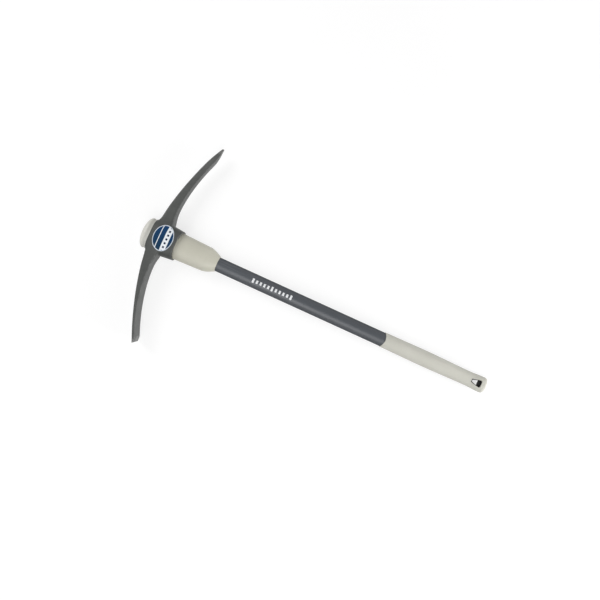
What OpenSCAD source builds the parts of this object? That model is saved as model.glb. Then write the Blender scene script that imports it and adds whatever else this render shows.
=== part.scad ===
// Pick axe with a forged head, one pointed arm and one chisel arm, on a jacketed fibre handle.
// The tool lies on one cheek of its head. X runs down the handle from the head to the butt,
// Y runs along the arms toward the point, and Z is up. The origin is the middle of the flat
// on the lower cheek, straight under the centre of the eye.

/* [Eye of the head] */
// Height of the eye along the handle
eye_h = 72; // [62:1:84]
// Width of the eye opening at its top, along the arms
eye_top_w = 75.6; // [72:0.2:80]
// Width of the eye opening at its lower rim
eye_low_w = 67.8; // [64:0.2:71]
// Depth of the eye opening at its top, cheek to cheek
eye_top_d = 51; // [48:0.2:56]
// Depth of the eye opening at its lower rim
eye_low_d = 45; // [44:0.2:47]
// Wall of each cheek at the top of the eye
cheek_wall = 6.5; // [5:0.1:10]
// Height of the bulge that the flat on each cheek cuts off
cheek_flat = 1.5; // [0.8:0.1:3]
// Wall of the eye at its mouth, above each arm
mouth_wall = 1.2; // [1.2:0.1:4]
// Height over which the mouth widens down to the arms
mouth_h = 10; // [4:0.5:12]
// Wall of the eye under its mouth, where each arm starts
end_wall_top = 6; // [5:0.1:9]
// Wall of the eye under each arm at its lower rim
end_wall_low = 3.4; // [2.5:0.1:6]
// Depth of the hollow in the lower rim at the middle of each cheek
rim_hollow = 5.4; // [2:0.1:9]
// Room between the eye and the sleeve, all round
eye_clear = 0.3; // [0.2:0.05:0.5]

/* [Arms of the head] */
// Reach of the point from the handle's axis
point_reach = 261; // [220:1:300]
// Reach of the chisel edge from the handle's axis
chisel_reach = 257; // [220:1:300]
// Radius of the arms' outer curve
arm_curve = 720; // [600:5:900]
// Droop of the point arm where it leaves the eye, in degrees
point_droop = 4.5; // [3:0.1:6]
// Droop of the chisel arm where it leaves the eye, in degrees
chisel_droop = 4.7; // [3:0.1:6]
// Setback of the arms' outer curve from the top of the eye
arm_setback = 0.9; // [0.5:0.1:3]
// Thickness of the point arm at its root
point_root_t = 30.5; // [26:0.5:34]
// Thickness of the point arm where its ground tip starts
point_end_t = 14.4; // [10:0.1:17]
// Depth of the point arm at its root
point_root_d = 35; // [30:0.5:42]
// Depth of the point arm where its ground tip starts
point_end_d = 25; // [18:0.5:30]
// Length of the ground tip
point_grind = 40; // [20:1:50]
// Width of the blunt end of the point
point_tip = 4; // [2:0.1:6]
// Thickness of the chisel arm at its root
chisel_root_t = 28; // [20:0.5:32]
// How far the chisel arm's root stands out behind the arms' common curve
chisel_back = 2.6; // [0:0.2:4]
// Thickness of the chisel blade where its bevel starts
chisel_end_t = 6; // [5:0.1:9]
// Depth of the chisel arm at its root
chisel_root_d = 40; // [34:0.5:46]
// Width of the chisel edge
chisel_edge_w = 58; // [44:0.5:62]
// Length of the bevel on the inner side of the blade
chisel_bevel = 12; // [8:0.5:20]
// Thickness left at the chisel edge
chisel_edge_t = 1; // [0.6:0.1:2]
// Chamfer along the arms' long edges at the root
arm_chamfer = 4; // [2:0.1:6]
// Chamfer along the arms' long edges at the tips
tip_chamfer = 1; // [0.5:0.1:1.5]
// Length of the flare from each arm into the eye
root_flare_len = 38; // [24:1:48]
// Thickness that the flare adds at the eye
root_flare = 4; // [2:0.5:10]
// Dip of the arms' outer curve where they meet the eye
root_dip = 1.7; // [0:0.1:3]
// Depth that the flare adds at the eye
root_spread = 10; // [6:0.5:14]

/* [Label] */
// Width of the oval label along the handle
label_w = 49.5; // [40:0.5:56]
// Length of the oval label along the arms
label_len = 65.5; // [50:0.5:68]
// Shift of the label toward the point arm
label_shift = 3; // [-4:0.5:4]
// Shift of the label toward the dome
label_rise = 1; // [0:0.5:6]
// Thickness of the label
label_t = 0.3; // [0.2:0.05:0.6]

/* [Sleeve in the eye] */
// Rise of the dome above the top of the eye
dome_rise = 25; // [18:0.5:30]
// Height of the bead's widest line above the top of the eye
bead_rise = 10; // [7:0.5:13]
// Overhang of the bead past the eye opening
bead_over = 0.6; // [0.4:0.1:3]
// Height of the neck under the bead above the top of the eye
neck_rise = 4; // [2:0.5:6]
// How far the neck stands inside the eye opening
neck_in = 0.9; // [0.4:0.1:2]
// Length of the collar from the rim of the eye to its lip
collar_len = 104; // [90:0.5:130]
// Length of the collar's shoulder
shoulder_len = 29; // [20:0.5:40]
// Width that the collar loses from the rim of the eye to its shoulder
collar_drop_w = 5.4; // [3:0.1:7]
// Depth that the collar loses from the rim of the eye to its shoulder
collar_drop_d = 1; // [0.4:0.1:2]
// Wall of the collar at its lip
lip_wall = 1.9; // [1.2:0.1:2.2]
// Diameter of the plug in the dome
plug_d = 31; // [28:0.5:38]
// Depth of the plug under the top of the dome
plug_depth = 13.5; // [10:0.5:18]

/* [Handle] */
// Length of the handle from the top of the dome to the butt
handle_len = 917.9; // [860:0.1:1000]
// Diameter of the core rod
core_d = 25.4; // [22:0.1:27]
// Thickness of the bond between the core rod and the sleeve
bond_t = 0.5; // [0.3:0.05:0.8]
// Diameter of the jacketed shaft
shaft_d = 35.5; // [34:0.1:36.5]
// Length of the jacket inside the collar
jacket_in_collar = 55; // [35:1:75]
// Length of the jacket inside the grip
jacket_in_grip = 24; // [12:1:40]
// Room between the pieces that are bonded or moulded together
seat_clear = 0.05; // [0.02:0.01:0.1]

/* [Grip] */
// Length of the grip
grip_len = 275; // [240:1:320]
// Thickness of the grip's lip over the jacket
grip_lip = 1.1; // [0.8:0.1:2]
// Thickness of the grip's swell past the jacket
grip_swell = 2; // [1.2:0.1:2.6]
// Distance from the butt to the swell
swell_from_butt = 160; // [130:1:190]
// Thickness of the grip's waist past the jacket
grip_waist = 0.3; // [0:0.1:1]
// Distance from the butt to the waist
waist_from_butt = 46; // [40:1:56]
// Thickness of the butt's flare past the jacket
butt_flare = 1.9; // [1:0.1:2.6]
// Distance from the butt to the widest line of its flare
flare_from_butt = 11; // [10:0.5:16]
// Rounding of the butt's edge
butt_round = 6; // [3:0.5:9]
// Depth of the hollow in the grip's upper edge, front and back
edge_hollow = 6; // [3:0.5:9]
// Wall of the grip over the end of the insert
end_skin = 5; // [3:0.5:8]
// Diameter of the insert inside the butt
insert_d = 31; // [29:0.1:32]
// Length of the insert
insert_len = 68; // [60:1:80]
// Length of the insert's cup around the core rod
insert_cup = 18; // [10:1:22]

/* [Hang hole] */
// Distance from the butt to the wide end of the hang hole
hang_from_butt = 15.5; // [9:0.5:18]
// Length of the hang hole along the handle
hang_len = 22; // [18:0.5:28]
// Width of the hang hole at its wide end
hang_w = 16; // [12:0.5:18]
// Radius of the hang hole's corners
hang_r = 3; // [1.5:0.1:4]
// Rim of the insert that shows round the hole in the grip
hang_rim = 1.2; // [0.5:0.1:2]

/* [Hidden] */
$fn = 96;

// Colours of the finishes
paint_grey = "#5a5c5a";
putty = "#c6c4b8";
shaft_grey = "#4d5358";
glass_cream = "#d8cfa8";
resin_amber = "#b58a4a";
insert_black = "#1c1c1e";
label_navy = "#1f3c66";

// Places along the handle
x_top = -eye_h / 2;
x_rim = eye_h / 2;
x_dome = x_top - dome_rise;
x_bead = x_top - bead_rise;
x_lip = x_rim + collar_len;
x_shoulder = x_lip - shoulder_len;
x_butt = x_dome + handle_len;
x_grip = x_butt - grip_len;
x_core_top = x_dome + plug_depth;
x_insert_end = x_butt - end_skin;
x_insert = x_insert_end - insert_len;
x_core_end = x_insert + insert_cup;
x_jacket = x_lip - jacket_in_collar;
x_jacket_end = x_grip + jacket_in_grip;

// Half depth of the head, which is the height of the handle's axis
cheek_z = eye_top_d / 2 + cheek_wall;

// Half sizes of the eye and of the sleeve in it
eye_top = [eye_top_w, eye_top_d] / 2;
eye_low = [eye_low_w, eye_low_d] / 2;
room = [eye_clear, eye_clear];
bead = eye_top + [bead_over, bead_over];
neck = eye_top - [neck_in, neck_in];
collar_rim = eye_low - room;
collar_end = collar_rim - [collar_drop_w, collar_drop_d] / 2;
lip_r = shaft_d / 2 + lip_wall;
bond_bore = core_d + 2 * (bond_t + 2 * seat_clear);

// Where the arms start inside the eye's wall, and where their taper starts
y_start = eye_top[0] / 2;
y_root = eye_top[0] + end_wall_top;

// Chamfers at the ends of the arms
shank_chamfer = 2 * tip_chamfer;
blunt_chamfer = point_tip / 4;
edge_chamfer = chisel_edge_t / 4;

// Shape of the curves
oval_steps = 64;
dome_steps = 10;
shoulder_steps = 8;
arm_steps = 22;
grind_steps = 6;
grip_steps = 10;
hollow_steps = 180;
corner_steps = 32;
dome_power = 2;
shoulder_power = 1.4;
cheek_power = 2.6;
taper_power = 2.1;
grind_power = 1.35;
over = 1;

function mix(a, b, k) = a + (b - a) * k;
function ease(k) = (1 - cos(180 * k)) / 2;
function clip(k) = max(0, min(1, k));
function signed_pow(v, p) = sign(v) * pow(abs(v), p);

// Oval ring across the handle's axis at x, with half sizes in Y and Z
function oval(x, half, power = 2) = [
    for (i = [0:oval_steps - 1])
        let (a = 360 * i / oval_steps)
        [
            x,
            half[0] * signed_pow(cos(a), 2 / power),
            half[1] * signed_pow(sin(a), 2 / power)
        ]
];

// Middle of a list of points
function middle(points) = [for (p = points) 1] * points / len(points);

// Closed solid through rings that have the same number of points
module skin(rings) {
    n = len(rings[0]);
    total = len(rings) * n;
    last = total - n;
    points = [for (ring = rings) each ring, middle(rings[0]), middle(rings[len(rings) - 1])];
    sides = [
        for (k = [0:len(rings) - 2])
            for (i = [0:n - 1])
                let (a = k * n + i)
                let (b = k * n + (i + 1) % n)
                each [[b + n, b, a], [a + n, b + n, a]]
    ];
    caps = [
        for (i = [0:n - 1])
            let (j = (i + 1) % n)
            each [[i, j, total], [last + j, last + i, total + 1]]
    ];
    polyhedron(points = points, faces = concat(sides, caps));
}

module on_axis() {
    translate([0, 0, cheek_z]) children();
}

module rod(x0, x1, d) {
    translate([x0, 0, 0]) rotate([0, 90, 0]) cylinder(d = d, h = x1 - x0);
}

// Opening of the eye, a straight taper that runs past both ends
module eye_void() {
    run_out = over / eye_h;
    skin([
        oval(x_top - over, mix(eye_top, eye_low, -run_out)),
        oval(x_rim + over, mix(eye_top, eye_low, 1 + run_out))
    ]);
}

// Outside of the eye: a tapered oval with a flat on each cheek
module eye_body(grow = 0) {
    flat_z = cheek_z + grow;
    bulge = flat_z + cheek_flat;
    intersection() {
        skin([
            oval(x_top, [eye_top[0] + mouth_wall + grow, bulge], cheek_power),
            oval(x_top + mouth_h, [eye_top[0] + end_wall_top + grow, bulge], cheek_power),
            oval(x_rim, [eye_low[0] + end_wall_low + grow, bulge], cheek_power)
        ]);
        translate([-eye_h, -eye_top_w, -flat_z])
            cube([2 * eye_h, 2 * eye_top_w, 2 * flat_z]);
    }
}

// Hollow across the lower rim of both cheeks
module rim_cut() {
    half_w = eye_low[0] + end_wall_low;
    r = (half_w * half_w + rim_hollow * rim_hollow) / (2 * rim_hollow);
    translate([x_rim - rim_hollow + r, 0, -2 * cheek_z])
        cylinder(r = r, h = 4 * cheek_z, $fn = hollow_steps);
}

// Outer curve of an arm at distance y from the handle's axis
function arm_x(y, droop) =
    x_top + arm_setback + tan(droop) * y
    + arm_curve - sqrt(arm_curve * arm_curve - y * y);

// Section of an arm: a chamfered oblong from x0 to x1, d deep
function arm_ring(y, x0, x1, d, c) = [
    [x0 + c, y, d / 2], [x1 - c, y, d / 2], [x1, y, d / 2 - c], [x1, y, c - d / 2],
    [x1 - c, y, -d / 2], [x0 + c, y, -d / 2], [x0, y, c - d / 2], [x0, y, d / 2 - c]
];

// How far the outer curve dips near the eye
function dip(y) = root_dip * (1 - ease(clip((y - y_root) / root_flare_len)));

// Thickness that the flare adds to an arm at distance y
function root_swell(y, size) = size * pow(1 - clip((y - y_root) / root_flare_len), 2);

// Size of an arm at distance y, from its root to its end
function taper(y, y_end, root, end) =
    end + (root - end) * pow(1 - clip((y - y_root) / (y_end - y_root)), taper_power);

// Stretch of a section across the handle where the arm droops
function arm_slope(y, droop) = sqrt(1 + pow(tan(droop) + y / arm_curve, 2));

module point_arm() {
    y_grind = point_reach - point_grind;
    stations = [
        for (i = [0:arm_steps]) mix(y_start, y_grind, i / arm_steps),
        for (i = [1:grind_steps]) mix(y_grind, point_reach, i / grind_steps)
    ];
    skin([
        for (y = stations)
            let (shank = taper(y, y_grind, point_root_t, point_end_t) * arm_slope(y, point_droop))
            let (back = arm_x(y, point_droop))
            let (deep = taper(y, y_grind, point_root_d, point_end_d))
            let (ground = pow(clip((y - y_grind) / point_grind), grind_power))
            arm_ring(
                y,
                back + dip(y),
                back + mix(shank, point_tip, ground) + root_swell(y, root_flare),
                mix(deep, point_tip, ground) + root_swell(y, root_spread),
                mix(taper(y, y_grind, arm_chamfer, shank_chamfer), blunt_chamfer, ground)
            )
    ]);
}

module chisel_arm() {
    y_bevel = chisel_reach - chisel_bevel;
    stations = [for (i = [0:arm_steps]) mix(y_start, y_bevel, i / arm_steps), chisel_reach];
    mirror([0, 1, 0]) skin([
        for (y = stations)
            let (shank = taper(y, y_bevel, chisel_root_t, chisel_end_t) * arm_slope(y, chisel_droop))
            let (ground = clip((y - y_bevel) / chisel_bevel))
            let (t = mix(shank, chisel_edge_t, ground))
            let (back = arm_x(y, chisel_droop) - taper(y, y_bevel, chisel_back, 0))
            arm_ring(
                y,
                back + dip(y),
                back + t + root_swell(y, root_flare),
                taper(y, y_bevel, chisel_root_d, chisel_edge_w) + root_swell(y, root_spread),
                mix(taper(y, y_bevel, arm_chamfer, tip_chamfer), edge_chamfer, ground)
            )
    ]);
}

module pick_head() {
    color(paint_grey) on_axis() difference() {
        union() {
            eye_body();
            point_arm();
            chisel_arm();
        }
        eye_void();
        rim_cut();
    }
}

module eye_label() {
    color(label_navy) on_axis() intersection() {
        translate([-label_rise, label_shift, 0]) scale([label_w / label_len, 1, 1])
            cylinder(d = label_len, h = 2 * cheek_z);
        difference() {
            eye_body(grow = label_t);
            eye_body();
            point_arm();
            chisel_arm();
        }
    }
}

// Outside of the sleeve: dome, bead, taper in the eye, collar and shoulder
module sleeve_body() {
    dome = [
        for (i = [1:dome_steps - 1])
            let (k = 1 - ease(i / dome_steps / 2) * 2)
            oval(mix(x_bead, x_dome, k), bead * pow(1 - pow(k, dome_power), 1 / dome_power))
    ];
    shoulder = [
        for (i = [0:shoulder_steps])
            let (k = i / shoulder_steps)
            oval(mix(x_shoulder, x_lip, k), mix(collar_end, [lip_r, lip_r], pow(k, shoulder_power)))
    ];
    skin(concat(
        dome,
        [
            oval(x_bead, bead),
            oval(x_top - neck_rise, neck),
            oval(x_top, eye_top - room),
            oval(x_rim, collar_rim)
        ],
        shoulder
    ));
}

module head_sleeve() {
    color(putty) on_axis() difference() {
        sleeve_body();
        rod(x_dome - over, x_core_top, plug_d + 2 * seat_clear);
        rod(x_core_top - over, x_lip, bond_bore);
        rod(x_jacket, x_lip + over, shaft_d + 2 * seat_clear);
    }
}

module top_plug() {
    color(putty) on_axis() intersection() {
        sleeve_body();
        rod(x_dome - over, x_core_top, plug_d);
    }
}

module core_rod() {
    color(glass_cream) on_axis() rod(x_core_top, x_core_end, core_d);
}

module core_bond() {
    color(resin_amber) on_axis() difference() {
        rod(x_core_top, x_jacket, core_d + 2 * (seat_clear + bond_t));
        rod(x_core_top - over, x_jacket + over, core_d + 2 * seat_clear);
    }
}

module shaft_jacket() {
    color(shaft_grey) on_axis() difference() {
        rod(x_jacket, x_jacket_end, shaft_d);
        rod(x_jacket - over, x_jacket_end + over, core_d + 2 * seat_clear);
    }
}

// Rounded triangle through the butt, with its narrow end toward the head
module hang_void(grow = 0) {
    x_wide = x_butt - hang_from_butt - hang_r;
    x_narrow = x_butt - hang_from_butt - hang_len + hang_r;
    translate([0, 0, -shaft_d]) linear_extrude(2 * shaft_d) hull() {
        for (side = [-1, 1])
            translate([x_wide, side * (hang_w / 2 - hang_r)]) circle(hang_r + grow, $fn = corner_steps);
        translate([x_narrow, 0]) circle(hang_r + grow, $fn = corner_steps);
    }
}

// Outline of the grip between two of its radii, as points of radius and place along the handle
function grip_span(x0, x1, r0, r1) = [
    for (i = [0:grip_steps - 1])
        let (k = i / grip_steps)
        [mix(r0, r1, ease(k)), mix(x0, x1, k)]
];

module grip_body() {
    jacket_r = shaft_d / 2;
    r_butt = jacket_r + butt_flare;
    x_swell = x_butt - swell_from_butt;
    x_waist = x_butt - waist_from_butt;
    x_flare = x_butt - flare_from_butt;
    corner = [
        for (i = [0:grip_steps])
            let (a = 90 * i / grip_steps)
            [r_butt - butt_round + butt_round * cos(a), x_butt - butt_round + butt_round * sin(a)]
    ];
    outline = concat(
        [[0, x_grip]],
        grip_span(x_grip, x_swell, jacket_r + grip_lip, jacket_r + grip_swell),
        grip_span(x_swell, x_waist, jacket_r + grip_swell, jacket_r + grip_waist),
        grip_span(x_waist, x_flare, jacket_r + grip_waist, r_butt),
        [[r_butt, x_flare]],
        corner,
        [[0, x_butt]]
    );
    rotate([0, 90, 0]) rotate_extrude() polygon(outline);
}

// Round hollow across the grip's upper edge, front and back
module edge_cut() {
    half_w = shaft_d / 2 + grip_lip;
    r = (half_w * half_w + edge_hollow * edge_hollow) / (2 * edge_hollow);
    translate([x_grip + edge_hollow - r, 0, -shaft_d]) cylinder(r = r, h = 2 * shaft_d);
}

module end_grip() {
    color(putty) on_axis() difference() {
        grip_body();
        rod(x_grip - over, x_jacket_end, shaft_d + 2 * seat_clear);
        rod(x_jacket_end - over, x_insert + over, core_d + 2 * seat_clear);
        rod(x_insert, x_insert_end, insert_d + 2 * seat_clear);
        edge_cut();
        hang_void(hang_rim);
    }
}

module butt_insert() {
    color(insert_black) on_axis() difference() {
        rod(x_insert, x_insert_end, insert_d);
        rod(x_insert - over, x_core_end, core_d + 2 * seat_clear);
        hang_void();
    }
}

pick_head();
eye_label();
head_sleeve();
top_plug();
core_rod();
core_bond();
shaft_jacket();
end_grip();
butt_insert();
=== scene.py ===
# %% [markdown]
# # A pick axe, dressed for its photograph
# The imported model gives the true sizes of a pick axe: a forged head with one pointed and one
# chisel arm, and a jacketed fibre handle that passes through the head's eye. This lesson puts
# smooth, finished pieces over those solids. Everything is in metres and in the model's own
# frame: X runs down the handle, Y runs along the arms toward the point, and Z is up.

# %% Load the frame
import math

import bmesh
import bpy
from mathutils import Matrix, Vector
from mathutils.bvhtree import BVHTree


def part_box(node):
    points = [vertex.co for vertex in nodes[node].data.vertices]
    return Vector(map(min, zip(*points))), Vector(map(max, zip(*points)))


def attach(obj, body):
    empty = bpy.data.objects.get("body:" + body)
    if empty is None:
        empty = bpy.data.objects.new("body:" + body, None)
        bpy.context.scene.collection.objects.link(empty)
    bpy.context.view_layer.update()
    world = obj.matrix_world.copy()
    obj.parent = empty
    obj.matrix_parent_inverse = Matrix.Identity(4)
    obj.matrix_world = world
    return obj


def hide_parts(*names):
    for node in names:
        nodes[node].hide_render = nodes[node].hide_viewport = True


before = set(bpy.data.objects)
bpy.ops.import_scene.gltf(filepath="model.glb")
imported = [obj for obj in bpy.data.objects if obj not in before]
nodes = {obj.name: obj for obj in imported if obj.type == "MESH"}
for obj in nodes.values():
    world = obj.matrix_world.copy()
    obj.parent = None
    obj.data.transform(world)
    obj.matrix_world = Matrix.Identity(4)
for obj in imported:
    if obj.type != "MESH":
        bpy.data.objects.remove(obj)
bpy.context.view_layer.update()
scene = bpy.context.scene
print("nodes:", ", ".join(sorted(nodes)))

# %% [markdown]
# ## The camera
# The photograph looks straight down on the tool, which lies on one cheek of its head with the
# handle running down to the right. So the camera hangs over the middle of the handle and is
# rolled about its own line of sight. The distance and the lens come from how much the arms'
# inner faces show, because only a near camera sees them.

# %% Camera over the handle
MM = 0.001
AXIS_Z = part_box("shaft_jacket")[0].z / 2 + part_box("shaft_jacket")[1].z / 2
CAMERA_X, CAMERA_Y, CAMERA_HEIGHT = 0.3593, 0.0041, 1.525
CAMERA_ROLL = math.radians(24.55)
SENSOR, LENS = 36.0, 37.4

camera_data = bpy.data.cameras.new("photo_camera")
camera_data.sensor_width = SENSOR
camera_data.lens = LENS
camera = bpy.data.objects.new("photo_camera", camera_data)
camera.location = (CAMERA_X, CAMERA_Y, AXIS_Z + CAMERA_HEIGHT)
camera.rotation_euler = (0.0, 0.0, CAMERA_ROLL)
scene.collection.objects.link(camera)
scene.camera = camera
print("handle axis at z =", round(AXIS_Z, 4), "camera at", [round(v, 3) for v in camera.location])

# %% [markdown]
# ## Rings that grow
# Nearly every piece of this tool is a tube that changes its width along the handle: the eye,
# the sleeve, the shaft, the grip. In the editor one would add a circle and then extrude and
# scale it again and again. These helpers do just that. A piece is shaped in millimetres round
# the handle's axis, and is brought into the frame in one step at the end.

# %% Ring helpers


def first_ring(bm, segments):
    """A circle, as its vertices in order."""
    return bmesh.ops.create_circle(bm, cap_ends=False, segments=segments, radius=1.0)["verts"]


def ring_edges(bm, ring):
    return [bm.edges.get(pair) for pair in zip(ring, ring[1:] + ring[:1])]


def next_ring(bm, ring):
    """Extrudes a closed ring of edges and gives the new ring in the same order."""
    fresh = set(bmesh.ops.extrude_edge_only(bm, edges=ring_edges(bm, ring))["geom"])
    return [next(e.other_vert(v) for e in v.link_edges if e.other_vert(v) in fresh) for v in ring]


def join_rings(bm, ring, other):
    """Closes the gap between two rings with faces."""
    bmesh.ops.bridge_loops(bm, edges=ring_edges(bm, ring) + ring_edges(bm, other))


def close_ring(bm, ring):
    """Fills a ring with one face."""
    return bmesh.ops.edgeloop_fill(bm, edges=ring_edges(bm, ring))["faces"]


def signed_power(value, power):
    return math.copysign(abs(value) ** power, value)


def set_oval(ring, x, half_y, half_z, power=2.0):
    """Shapes a ring into an oval across the handle, and starts it at the point arm's side."""
    for i, vert in enumerate(ring):
        turn = 2 * math.pi * i / len(ring)
        vert.co = (
            x,
            half_y * signed_power(math.cos(turn), 2 / power),
            half_z * signed_power(math.sin(turn), 2 / power),
        )


def loft(bm, ring, rows):
    """Extrudes a ring through rows of place, half width and half depth, and gives the last one."""
    for row in rows:
        ring = next_ring(bm, ring)
        set_oval(ring, *row)
    return ring


print("a ring is a list of vertices, extruded and shaped one after another")

# %% [markdown]
# Where something leaves a tube, such as an arm or a hole, a window is opened in its wall. The
# window's edge is a ring too. Each of its points keeps its share of the window, from -1 to 1
# both ways, so the edge can be fitted to another section and still know its corners.

# %% Window helpers
X, Y, Z = 0, 1, 2
NEARLY_ONE = 0.99


def open_window(bm, rows, middle, columns):
    """Deletes the faces in a window of some rows, and gives the window's edge in order."""
    count = len(rows[0])
    span = [(middle + c) % count for c in range(-columns, columns + 1)]
    patch = {row[c] for row in rows for c in span}
    inside = [face for face in bm.faces if all(v in patch for v in face.verts)]
    bmesh.ops.delete(bm, geom=inside, context="FACES")
    ring = [rows[0][c] for c in span] + [row[span[-1]] for row in rows[1:]]
    return ring + [rows[-1][c] for c in span[-2::-1]] + [row[span[0]] for row in rows[-2:0:-1]]


def window_shares(ring, cross):
    """Shares of a window's points along the handle and in a direction across it."""
    low, high = min(v.co.x for v in ring), max(v.co.x for v in ring)
    reach = max(abs(v.co[cross]) for v in ring)
    return [((2 * v.co.x - low - high) / (high - low), v.co[cross] / reach) for v in ring]


def is_corner(u, w):
    return min(abs(u), abs(w)) > NEARLY_ONE


def drop_loose(bm):
    """Deletes the points that a window has left without faces."""
    bmesh.ops.delete(bm, geom=[v for v in bm.verts if not v.link_faces], context="VERTS")


print("a window's edge is a ring whose points know their share of the window")

# %% Piece helper
TO_FRAME = Matrix.Translation((0, 0, AXIS_Z)) @ Matrix.Scale(MM, 4)
SHARP = math.radians(38)


def make_piece(bm, name, levels=0):
    """Turns a bmesh into a smooth object at the origin, with subdivision where levels are given."""
    bmesh.ops.recalc_face_normals(bm, faces=bm.faces[:])
    bmesh.ops.transform(bm, matrix=TO_FRAME, verts=bm.verts[:])
    mesh = bpy.data.meshes.new(name)
    bm.to_mesh(mesh)
    open_edges = sum(1 for edge in bm.edges if not edge.is_manifold)
    bm.free()
    mesh.shade_smooth()
    piece = bpy.data.objects.new(name, mesh)
    scene.collection.objects.link(piece)
    if levels:
        smooth = piece.modifiers.new("smooth", "SUBSURF")
        smooth.levels = smooth.render_levels = levels
    else:
        mesh.set_sharp_from_angle(angle=SHARP)
    print(name, "has", len(mesh.polygons), "faces and", open_edges, "open edges")
    return piece


print("a piece without subdivision keeps its edges over", round(math.degrees(SHARP)), "degrees sharp")

# %% [markdown]
# ## The eye of the head
# The head is one steel forging. Its middle is the eye, an oval ring with a thick flat cheek on
# each side, and the two arms grow out of its ends without a seam. A subdivision surface suits
# such a forging: a coarse cage of rings gives the sizes, and the smoothing gives the soft
# blends between eye and arms. Smoothing pulls a ring in a little, so each ring starts wider.

# %% Sizes of the eye
EYE_RING = 32
X_TOP, X_RIM = -36.0, 36.0
EYE_TOP, EYE_LOW = (37.8, 25.5), (33.9, 22.5)
CHEEK_Z = 32.0
CHEEK_BULGE = 33.5
CHEEK_POWER = 2.6
RIM_HOLLOW = 5.4
WALL_PROFILE = [(X_TOP, 39.0), (-26.0, 43.8), (X_RIM, 37.3)]


def keep_size(segments):
    """How much wider a ring starts, so that smoothing brings it to its true size."""
    return 3 / (2 + math.cos(2 * math.pi / segments))


def wall_half(x):
    """Half width of the eye's wall at x, read from its profile."""
    for (x0, a), (x1, b) in zip(WALL_PROFILE, WALL_PROFILE[1:]):
        if x <= x1:
            return a + (b - a) * (x - x0) / (x1 - x0)


def hollow_rim(ring, share):
    """Draws a ring back toward the top at the middle of each cheek."""
    reach = wall_half(X_RIM)
    for vert in ring:
        vert.co.x -= share * RIM_HOLLOW * max(0.0, 1 - (vert.co.y / reach) ** 2)


EYE_KEEP = keep_size(EYE_RING)
print("rings of the eye start", round((EYE_KEEP - 1) * 100, 2), "percent wider")

# %% Wall of the eye, outside
# Each row gives a place along the handle and how much of the rim's hollow reaches it.
WALL_ROWS = [
    (X_TOP, 0.0), (-34.8, 0.0), (-32.0, 0.0), (-26.4, 0.0), (-15.0, 0.0), (-6.5, 0.0), (-0.8, 0.0),
    (4.4, 0.0), (12.0, 0.0), (21.0, 0.3), (29.0, 0.75), (33.6, 1.0), (X_RIM, 1.0),
]
RIM_WEAR, BORE_WEAR = 1.0, 0.4

head_bm = bmesh.new()
wear = head_bm.verts.layers.float.new("edge_wear")
wall = []
for x, hollow in WALL_ROWS:
    ring = next_ring(head_bm, wall[-1]) if wall else first_ring(head_bm, EYE_RING)
    set_oval(ring, x, wall_half(x) * EYE_KEEP, CHEEK_BULGE * EYE_KEEP, CHEEK_POWER)
    for vert in ring:
        vert.co.z = max(-CHEEK_Z, min(CHEEK_Z, vert.co.z))
        vert[wear] = RIM_WEAR if x in (X_TOP, X_RIM) else 0.0
    hollow_rim(ring, hollow)
    wall.append(ring)
print("outside of the eye:", len(head_bm.faces), "faces")

# %% Wall of the eye, inside
# Here a row also gives the lead by which the bore opens at its two ends.
BORE_ROWS = [
    (X_RIM, 1.0, 0.8), (34.6, 1.0, 0.0), (20.0, 0.3, 0.0), (0.0, 0.0, 0.0), (-20.0, 0.0, 0.0),
    (-34.6, 0.0, 0.0), (X_TOP, 0.0, 0.8),
]

ring = wall[-1]
for x, hollow, lead in BORE_ROWS:
    ring = next_ring(head_bm, ring)
    k = (x - X_TOP) / (X_RIM - X_TOP)
    half_y, half_z = (a + (b - a) * k + lead for a, b in zip(EYE_TOP, EYE_LOW))
    set_oval(ring, x, half_y * EYE_KEEP, half_z * EYE_KEEP)
    for vert in ring:
        vert[wear] = BORE_WEAR if lead else 0.0
    hollow_rim(ring, hollow)
join_rings(head_bm, ring, wall[0])
print("eye wall:", len(head_bm.faces), "faces")

# %% [markdown]
# ## The arms
# Each arm leaves the eye through a window in the wall and follows one long circular curve. On
# the real head the smith draws it out: it thins toward its end, and a flare carries it into
# the eye. So the window's edge is extruded from station to station, and every new ring is
# scaled to the arm's thickness and depth there. The corners of a section are pulled in, which
# gives the soft edges of a painted forging.

# %% How an arm runs
ARM_CURVE = 720.0
POINT_DROOP, CHISEL_DROOP = math.tan(math.radians(4.5)), math.tan(math.radians(4.7))
ARM_SETBACK = 0.9
ARM_ROOT_Y = 43.8
TAPER_POWER = 2.1
FLARE_LEN, FLARE_THICK, FLARE_DEEP = 38.0, 4.0, 10.0
ROOT_DIP = 1.7


def arm_line(y, droop):
    """Place of an arm's outer curve along the handle."""
    return X_TOP + ARM_SETBACK + droop * y + ARM_CURVE - math.sqrt(ARM_CURVE**2 - y * y)


def arm_slope(y, droop):
    """How much longer a section is along the handle than square to the arm."""
    return math.sqrt(1 + (droop + y / ARM_CURVE) ** 2)


def part_way(y, start, end):
    return max(0.0, min(1.0, (y - start) / (end - start)))


def taper(y, y_end, root, end):
    return end + (root - end) * (1 - part_way(y, ARM_ROOT_Y, y_end)) ** TAPER_POWER


def flare(y, size):
    return size * (1 - part_way(y, ARM_ROOT_Y, ARM_ROOT_Y + FLARE_LEN)) ** 2


def dip(y):
    """How far the outer curve dips near the eye."""
    return ROOT_DIP * (1 + math.cos(math.pi * part_way(y, ARM_ROOT_Y, ARM_ROOT_Y + FLARE_LEN))) / 2


print("outer curve at 100 mm from the axis:", round(arm_line(100.0, POINT_DROOP), 2), "mm along the handle")

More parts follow.
